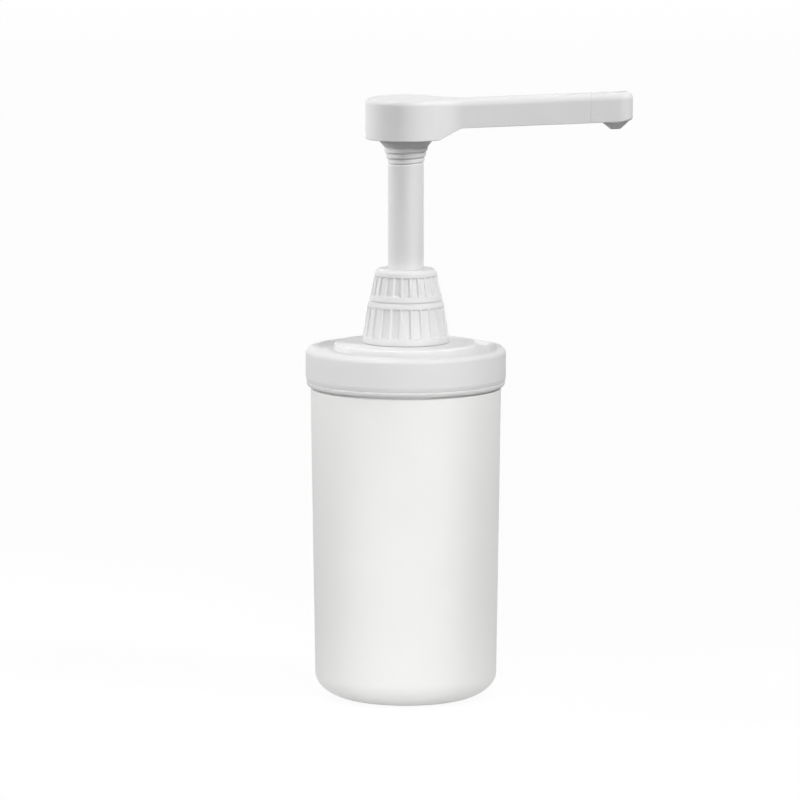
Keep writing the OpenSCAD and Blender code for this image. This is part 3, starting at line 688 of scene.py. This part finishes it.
def make_closure_nut():
    shoulder = NUT_TOP - NUT_ROUND
    band = NUT_FOOT + NUT_BAND
    slope = rounded([
        (NUT_IN, NUT_FOOT + LEAD), (NUT_IN, NUT_FOOT, SMALL), (NUT_R, NUT_FOOT, SOFT), (NUT_R, band, ROUND),
        (NUT_SHOULDER, shoulder), (NUT_SHOULDER, NUT_TOP, NUT_ROUND), (NUT_BORE, NUT_TOP, SMALL),
        (NUT_BORE, NUT_CEILING, FINE), (NUT_IN, NUT_CEILING),
    ])
    skin = Skin()
    shape = flutes(NUT_R, band, NUT_SHOULDER, shoulder)
    skin.lathe(finer(slope, FLUTE_STEP), PANEL_SIDES * FLUTES, shape)
    skin.piece("closure_nut_shell", "closure_nut", nut_plastic)


def make_gland_cap():
    shoulder = GLAND_TOP - GLAND_ROUND
    bore = STEM_R + STEM_PLAY
    slope = rounded([
        (GLAND_IN, GLAND_FOOT + LEAD), (GLAND_IN, GLAND_FOOT, FINE), (GLAND_SEAT, GLAND_FOOT, FINE),
        (BEAD_FOOT_R, BEAD_FOOT, HAIR), (GLAND_R, BEAD_FOOT, FINE), (GLAND_R, BEAD_SIDE, BEAD_ROUND),
        (BEAD_TOP_R, BEAD_TOP, SMALL), (GLAND_WALL, BEAD_TOP, HAIR), (GLAND_TOP_R, shoulder),
        (GLAND_TOP_R, GLAND_TOP, GLAND_ROUND), (bore, GLAND_TOP, FINE), (bore, GLAND_CEILING, CRISP),
        (WIPER_R, GLAND_CEILING, CRISP), (WIPER_R, GLAND_CEILING - WIPER_H, CRISP),
        (GLAND_IN, GLAND_CEILING - WIPER_H),
    ])
    skin = Skin()
    cuts = flutes(GLAND_WALL, BEAD_TOP - CUT_UNDER, GLAND_TOP_R, shoulder - CUT_SHORT)

    def shape(r, z, angle):
        return r if z < BEAD_TOP + BEAD_CLEAR else cuts(r, z, angle)

    skin.lathe(finer(slope, FLUTE_STEP), PANEL_SIDES * FLUTES, shape)
    skin.piece("gland_cap_shell", "gland_cap", nut_plastic)


def make_stem():
    snap = (STEM_FOOT + STEM_SHOULDER) / 2
    foot = rounded([
        (STEM_BORE, STEM_FOOT + LEAD), (STEM_BORE, STEM_FOOT, FINE), (STEM_FOOT_R, STEM_FOOT, FINE),
        (STEM_FOOT_R, snap - SNAP_HALF), (STEM_FOOT_R + SNAP_OUT, snap, CRISP),
        (STEM_FOOT_R, snap + SNAP_HALF), (STEM_FOOT_R, STEM_SHOULDER, CRISP),
        (STEM_R, STEM_SHOULDER, FINE), (STEM_R, BANDS_FOOT),
    ])
    flare = finer([(STEM_R, BANDS_FOOT), (STEM_R, FLARE_FOOT), (FLARE_R, BANDS_TOP)], FLARE_STEP)
    top = rounded([
        (FLARE_R, BANDS_TOP), (FLARE_R, FLARE_TOP, CRISP), (SPIGOT_R, FLARE_TOP, CRISP),
        (SPIGOT_R, STEM_TOP, SMALL), (STEM_BORE, STEM_TOP, FINE), (STEM_BORE, STEM_BORE_TOP),
    ])

    def shape(r, z, angle):
        """Upright bands that step out one above the other in a screw, with a groove between them."""
        if not BANDS_FOOT < z < BANDS_TOP or r < STEM_R:
            return r
        turn = (z - FLARE_START) / FLARE_PITCH - angle / (2 * math.pi)
        middle = z + (0.5 - turn % 1) * FLARE_PITCH
        up = (middle - FLARE_FOOT) / (FLARE_TOP - FLARE_FOOT)
        band = mix(STEM_R, FLARE_R, min(max(up, 0), 1))
        return band - thread(z, angle, FLARE_START, FLARE_PITCH, FLARE_TURNS, GROOVE_DEPTH, GROOVE_W)

    skin = Skin()
    skin.lathe(foot + flare[1:-1] + top, STEM_SIDES, shape)
    skin.piece("stem_rod", "stem", pump_plastic)


def make_return_spring():
    end_pitch = WIRE + CLOSED_GAP
    open_pitch = (SPRING_L - 2 * SPRING_GAP - WIRE - 2 * end_pitch) / (SPRING_TURNS - 2)

    def height(u):
        last = SPRING_TURNS - 1
        return (SPRING_FOOT + SPRING_GAP + WIRE / 2 + min(u, 1) * end_pitch
                + max(0, min(u, last) - 1) * open_pitch + max(0, u - last) * end_pitch)

    skin = Skin()
    rings = []
    for i in range(SPRING_TURNS * COIL_STEPS + 1):
        u = i / COIL_STEPS
        out = Vector((math.cos(2 * math.pi * u), math.sin(2 * math.pi * u), 0))
        ahead = Vector((-out.y, out.x, 0)) * 2 * math.pi * SPRING_R
        ahead.z = (height(u + SLOPE_OVER) - height(u - SLOPE_OVER)) / (2 * SLOPE_OVER)
        up = out.cross(ahead).normalized()
        middle = out * SPRING_R + Vector((0, 0, height(u)))
        turns = [2 * math.pi * k / WIRE_SIDES for k in range(WIRE_SIDES)]
        rings.append(skin.ring([middle + (out * math.cos(a) + up * math.sin(a)) * WIRE / 2 for a in turns]))
    for a, b in zip(rings, rings[1:]):
        skin.bridge(a, b)
    skin.close(rings[0])
    skin.close(rings[-1])
    spring = skin.piece("return_spring_coil", "return_spring", steel)
    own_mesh(spring)


def arm_axis(x):
    return ARM_Z + x * math.tan(ARM_RISE)


def seam_inset(x):
    """How far the edges draw in towards the seam."""
    away = abs(x - SEAM)
    return SEAM_INSET * max(0, 1 - away / SEAM_REACH) ** 2


def rim_rows(skin, path, levels):
    """The rows of a rounded side wall. levels gives (foot, top, foot radius, top radius) at x."""
    columns = []
    for x, y, nx, ny in path:
        foot, top, foot_round, top_round = levels(x)
        turns = [math.pi / 2 * k / EDGE_STEPS for k in range(EDGE_STEPS + 1)]
        foot_arc = [(foot_round * (1 - math.sin(a)), foot + foot_round * (1 - math.cos(a))) for a in turns]
        top_arc = [(top_round * (1 - math.cos(a)), top - top_round * (1 - math.sin(a))) for a in turns]
        steps = [(foot_round + HOLD, foot), *foot_arc, (0, foot + foot_round + HOLD), (0, (foot + top) / 2),
                 (0, top - top_round - HOLD), *top_arc, (top_round + HOLD, top)]
        columns.append([(x + nx * inset, y + ny * inset, z) for inset, z in steps])
    rows = [skin.ring(row) for row in zip(*columns)]
    for a, b in zip(rows, rows[1:]):
        skin.strip(a, b)
    return rows


def with_normals(half):
    """A path round both sides, from half of it that runs from its middle out.

    Each point comes with the way in from it.
    """
    past = (2 * half[-1][0] - half[-2][0], 2 * half[-1][1] - half[-2][1])
    ends = [(half[1][0], -half[1][1])] + half + [past]
    out = []
    for before, (x, y), after in zip(ends, half, ends[2:]):
        along = Vector(after) - Vector(before)
        along.normalize()
        out.append((x, y, along.y, -along.x))
    return [(x, -y, nx, -ny) for x, y, nx, ny in reversed(out[1:])] + out


def across(skin, a, b, count=6):
    """A row from one point to another, both of which exist."""
    pa, pb = Vector(skin.points[a]), Vector(skin.points[b])
    return [a, *skin.ring([pa.lerp(pb, k / count) for k in range(1, count)]), b]


def hole(skin, loop, centre, radius, flat, axis=(0, 1)):
    """A round opening in a surface that a loop bounds. flat gives the third coordinate at a point."""
    circle = []
    for i in loop:
        point = Vector(skin.points[i])
        away = Vector((point[axis[0]] - centre[0], point[axis[1]] - centre[1])).normalized()
        spot = [0, 0, 0]
        spot[axis[0]] = centre[0] + away.x * radius
        spot[axis[1]] = centre[1] + away.y * radius
        spot[3 - axis[0] - axis[1]] = flat(spot)
        circle.append(Vector(spot))
    middle = skin.ring([Vector(skin.points[i]).lerp(c, 0.5) for i, c in zip(loop, circle)])
    edge = skin.ring(circle)
    skin.bridge(loop, middle)
    skin.bridge(middle, edge)
    return edge


def sink(skin, ring, steps, centre=(0, 0)):
    """Carries a ring on through steps (radius, height) about an upright axis, and closes the last one."""
    for radius, z in steps:
        turned = []
        for i in ring:
            point = Vector(skin.points[i])
            away = Vector((point.x - centre[0], point.y - centre[1])).normalized() * radius
            turned.append((centre[0] + away.x, centre[1] + away.y, z))
        after = skin.ring(turned)
        skin.bridge(ring, after)
        ring = after
    skin.close(ring)


def run_back(skin, ring, length):
    """Carries a ring back along the arm, and closes it there."""
    step = Vector((length, 0, length * math.tan(ARM_RISE)))
    deep = skin.ring([Vector(skin.points[i]) - step for i in ring])
    skin.bridge(ring, deep)
    skin.close(deep)


def seamed(path):
    """The same path, drawn in towards the seam."""
    return [(x, y - math.copysign(seam_inset(x), y), nx, ny) for x, y, nx, ny in path]


def head_outline():
    """Half of the outline of the head and its arm from above, from the back of the head to the seam."""
    sweep = ARM_SIDE + ARM_SWEEP
    root = math.sqrt((HEAD_R + ARM_SWEEP) ** 2 - sweep ** 2)
    touch = math.atan2(sweep, root)
    arc = [mix(math.pi, touch, k / HEAD_STEPS) for k in range(HEAD_STEPS)]
    half = [(HEAD_R * math.cos(a), HEAD_R * math.sin(a)) for a in arc]
    arc = [mix(math.pi + touch, 1.5 * math.pi, k / SWEEP_STEPS) for k in range(SWEEP_STEPS + 1)]
    half += [(root + ARM_SWEEP * math.cos(a), sweep + ARM_SWEEP * math.sin(a)) for a in arc]
    half += finer([(root + LEAD, ARM_SIDE), (SEAM - SEAM_NEAR, ARM_SIDE)], ARM_STEP)
    return half + [(SEAM - d, ARM_SIDE) for d in SEAM_STEPS]


def make_spout_head():
    foot_run = finer(rounded([
        (RUN_FROM, HEAD_FOOT), (RAMP_FOOT, HEAD_FOOT, RAMP_ROUND),
        (RAMP_TOP, arm_axis(RAMP_TOP) - ARM_UP, RAMP_ROUND), (RUN_TO, arm_axis(RUN_TO) - ARM_UP),
    ]), RUN_STEP)
    top_run = finer(rounded([
        (RUN_FROM, HEAD_TOP), (BROW_FROM, HEAD_TOP, BROW_ROUND),
        (BROW_TO, arm_axis(BROW_TO) + ARM_UP, BROW_ROUND), (RUN_TO, arm_axis(RUN_TO) + ARM_UP),
    ]), RUN_STEP)

    def levels(x):
        share = smooth((x - EDGES_FROM) / EDGES_OVER)
        inset = seam_inset(x)
        edges = [mix(head, arm, share) for head, arm in zip(HEAD_EDGES, ARM_EDGES)]
        return (height_at(foot_run, x) + inset, height_at(top_run, x) - inset, *edges)

    path = seamed(with_normals(head_outline()))
    skin = Skin()
    rows = rim_rows(skin, path, levels)
    size = len(path)
    ends = {}
    for row, name, edge_x in ((rows[0], "foot", RAMP_NECK), (rows[-1], "top", BROW_NECK)):
        neck = next(i for i in range(size) if path[i][0] < edge_x)
        lines = [across(skin, row[i], row[size - 1 - i]) for i in range(neck + 1)]
        for a, b in zip(lines, lines[1:]):
            skin.strip(a, b)
        ends[name] = lines[0]
        loop = row[neck:size - neck] + lines[neck][::-1][1:-1]
        if name == "top":
            edge = hole(skin, loop, (0, 0), CAP_R + CAP_LAND, lambda p: HEAD_TOP)
            gap = CAP_R + CAP_GAP
            sink(skin, edge, [
                (gap + CAP_BEVEL[0], HEAD_TOP - CAP_BEVEL[1]), (gap, HEAD_TOP - CAP_LAND), (gap, CAP_FOOT),
            ])
        else:
            edge = hole(skin, loop, (0, 0), HUB_R + HUB_LAND, lambda p: HEAD_FOOT)
            sink(skin, edge, [
                (HUB_R + HAIR, HEAD_FOOT - CRISP), (HUB_R - CRISP, HEAD_FOOT - HUB_BEVEL),
                (FLARE_R + CRISP, FLARE_TOP + SMALL), (FLARE_R - CRISP, FLARE_TOP),
                (SPIGOT_HOLE, FLARE_TOP), (SPIGOT_HOLE, SPIGOT_END),
            ])
    wall = [row[0] for row in rows]
    other = [row[-1] for row in rows]
    loop = wall + ends["top"][1:-1] + other[::-1] + ends["foot"][::-1][1:-1]
    bore = hole(skin, loop, (0, arm_axis(SEAM)), PLUG_HOLE_R, lambda p: SEAM - SEAM_HALF, (1, 2))
    run_back(skin, bore, PLUG_HOLE_L)
    skin.piece("spout_head_shell", "spout_head", pump_plastic)


def make_head_cap():
    dish = (CAP_R * CAP_R + CAP_DISH * CAP_DISH) / (2 * CAP_DISH)
    bowl = [(CAP_R - CAP_LIP) * (k / CAP_STEPS) for k in range(CAP_STEPS + 1)]
    dished = [(r, HEAD_TOP - CAP_DISH + dish - math.sqrt(dish * dish - r * r)) for r in bowl]
    edge = rounded([dished[-1], (CAP_R, HEAD_TOP - CAP_DROP, FINE), (CAP_R, CAP_FOOT, CRISP), (0, CAP_FOOT)])
    skin = Skin()
    skin.lathe(dished + edge[1:], CAP_SIDES, loop=False)
    skin.piece("head_cap_disc", "head_cap", pump_plastic)


def make_spout_end():
    centre = TIP - ARM_SIDE
    turns = [math.pi / 2 * k / TIP_STEPS for k in range(TIP_STEPS + 1)]
    half = [(centre + ARM_SIDE * math.cos(a), ARM_SIDE * math.sin(a)) for a in turns]
    half += [(SEAM + d, ARM_SIDE) for d in SPOUT_END_STEPS]
    foot_edge, top_edge = ARM_EDGES

    def levels(x):
        inset = seam_inset(x)
        foot_round = mix(foot_edge, TIP_FOOT_EDGE, smooth((x - centre) / ARM_SIDE))
        return (arm_axis(x) - ARM_UP + inset, arm_axis(x) + ARM_UP - inset, foot_round, top_edge)

    path = seamed([(x, y, -nx, -ny) for x, y, nx, ny in with_normals(half)])
    skin = Skin()
    rows = rim_rows(skin, path, levels)
    foot = across(skin, rows[0][0], rows[0][-1])
    top = across(skin, rows[-1][0], rows[-1][-1])
    skin.close(rows[-1] + top[::-1][1:-1])
    at = NOZZLE_AT * math.cos(ARM_RISE) + ARM_HALF * math.sin(ARM_RISE)
    loop = rows[0] + foot[::-1][1:-1]
    socket = hole(skin, loop, (at, 0), SOCKET_R, lambda p: arm_axis(p[0]) - ARM_UP)
    sink(skin, socket, [(SOCKET_R, arm_axis(at) - ARM_UP + SOCKET_L)], (at, 0))
    loop = [row[0] for row in rows] + top[1:-1] + [row[-1] for row in rows][::-1] + foot[::-1][1:-1]
    plug = hole(skin, loop, (0, arm_axis(SEAM)), PLUG_R, lambda p: SEAM + SEAM_HALF, (1, 2))
    run_back(skin, plug, PLUG_L)
    skin.piece("spout_end_shell", "spout_end", pump_plastic)


def make_nozzle():
    cone = rounded([
        (NOZZLE_BORE, NOZZLE_BORE_FROM), (NOZZLE_BORE, NOZZLE_FOOT, MOUTH_EDGE),
        (NOZZLE_MOUTH, NOZZLE_FOOT, FINE), (NOZZLE_R, NOZZLE_RIM, FINE), (NOZZLE_R, 0, CRISP),
        (NOZZLE_PLUG, 0, HAIR), (NOZZLE_PLUG, NOZZLE_TOP, CRISP), (NOZZLE_FUNNEL, NOZZLE_TOP, CRISP),
        (NOZZLE_BORE, NOZZLE_BORE_TO),
    ])
    place = (Matrix.Translation((0, 0, ARM_Z)) @ Matrix.Rotation(-ARM_RISE, 4, "Y")
             @ Matrix.Translation((NOZZLE_AT, 0, -ARM_HALF)))
    skin = Skin()
    skin.lathe(cone, NOZZLE_SIDES)
    skin.piece("nozzle_tip", "nozzle", pump_plastic, place)


# Stage


def camera_or_mirror(tree):
    """1 for the rays that show the background to the camera, in mirrors and through glass."""
    path = tree.nodes.new("ShaderNodeLightPath")
    total = path.outputs["Is Camera Ray"]
    for name in ("Is Glossy Ray", "Is Transmission Ray"):
        join = tree.nodes.new("ShaderNodeMath")
        join.operation = "MAXIMUM"
        tree.links.new(total, join.inputs[0])
        tree.links.new(path.outputs[name], join.inputs[1])
        total = join.outputs["Value"]
    return total


def add_floor():
    mesh = bpy.data.meshes.new("floor")
    corners = [(-1, -1), (1, -1), (1, 1), (-1, 1)]
    mesh.from_pydata([(x * FLOOR_HALF, y * FLOOR_HALF, 0) for x, y in corners], [], [(0, 1, 2, 3)])
    floor = bpy.data.objects.new("floor", mesh)
    bpy.context.scene.collection.objects.link(floor)
    material, tree = node_tree("floor")
    link = tree.links.new
    out = tree.nodes.new("ShaderNodeOutputMaterial")
    place = tree.nodes.new("ShaderNodeTexCoord")
    away = tree.nodes.new("ShaderNodeVectorMath")
    away.operation = "LENGTH"
    link(place.outputs["Object"], away.inputs[0])
    shade = map_range(tree, BOUNCE)
    link(away.outputs["Value"], shade.inputs["Value"])
    dark = tree.nodes.new("ShaderNodeBsdfDiffuse")
    link(shade.outputs["Result"], dark.inputs["Color"])
    seen = tree.nodes.new("ShaderNodeBsdfDiffuse")
    seen.inputs["Color"].default_value = (FLOOR_LIT, FLOOR_LIT, FLOOR_LIT, 1)
    glow = tree.nodes.new("ShaderNodeEmission")
    glow.inputs["Strength"].default_value = FLOOR_OWN
    both = tree.nodes.new("ShaderNodeAddShader")
    mixed = tree.nodes.new("ShaderNodeMixShader")
    link(seen.outputs["BSDF"], both.inputs[0])
    link(glow.outputs["Emission"], both.inputs[1])
    link(camera_or_mirror(tree), mixed.inputs["Fac"])
    link(dark.outputs["BSDF"], mixed.inputs[1])
    link(both.outputs["Shader"], mixed.inputs[2])
    link(mixed.outputs["Shader"], out.inputs["Surface"])
    mesh.materials.append(material)


def add_world():
    world = bpy.data.worlds.new("studio")
    bpy.context.scene.world = world
    world.use_nodes = True
    tree = world.node_tree
    tree.nodes.clear()
    out = tree.nodes.new("ShaderNodeOutputWorld")
    fill = tree.nodes.new("ShaderNodeBackground")
    fill.inputs["Color"].default_value = (FILL, FILL, FILL, 1)
    white = tree.nodes.new("ShaderNodeBackground")
    white.inputs["Color"].default_value = (1, 1, 1, 1)
    mixed = tree.nodes.new("ShaderNodeMixShader")
    tree.links.new(camera_or_mirror(tree), mixed.inputs["Fac"])
    tree.links.new(fill.outputs["Background"], mixed.inputs[1])
    tree.links.new(white.outputs["Background"], mixed.inputs[2])
    tree.links.new(mixed.outputs["Shader"], out.inputs["Surface"])


def add_lamp(name, at, aim, width, height, spread, power):
    data = bpy.data.lights.new(name, "AREA")
    data.shape = "RECTANGLE"
    data.size = width
    data.size_y = height
    data.spread = math.radians(spread)
    data.energy = power
    lamp = bpy.data.objects.new(name, data)
    bpy.context.scene.collection.objects.link(lamp)
    lamp.visible_glossy = name not in SOFT_LAMPS
    lamp.location = at
    lamp.rotation_euler = (Vector(aim) - Vector(at)).to_track_quat("-Z", "Y").to_euler()


bpy.context.scene.view_settings.view_transform = "Standard"
add_camera()
make_jar()
make_lid()
make_closure_nut()
make_gland_cap()
make_stem()
make_return_spring()
make_spout_head()
make_head_cap()
make_spout_end()
make_nozzle()
for name, node in frame["nodes"].items():
    node.data.materials.clear()
    node.data.materials.append(finish_of[slot_of[name]])
add_floor()
add_world()
for lamp in LAMPS:
    add_lamp(*lamp)
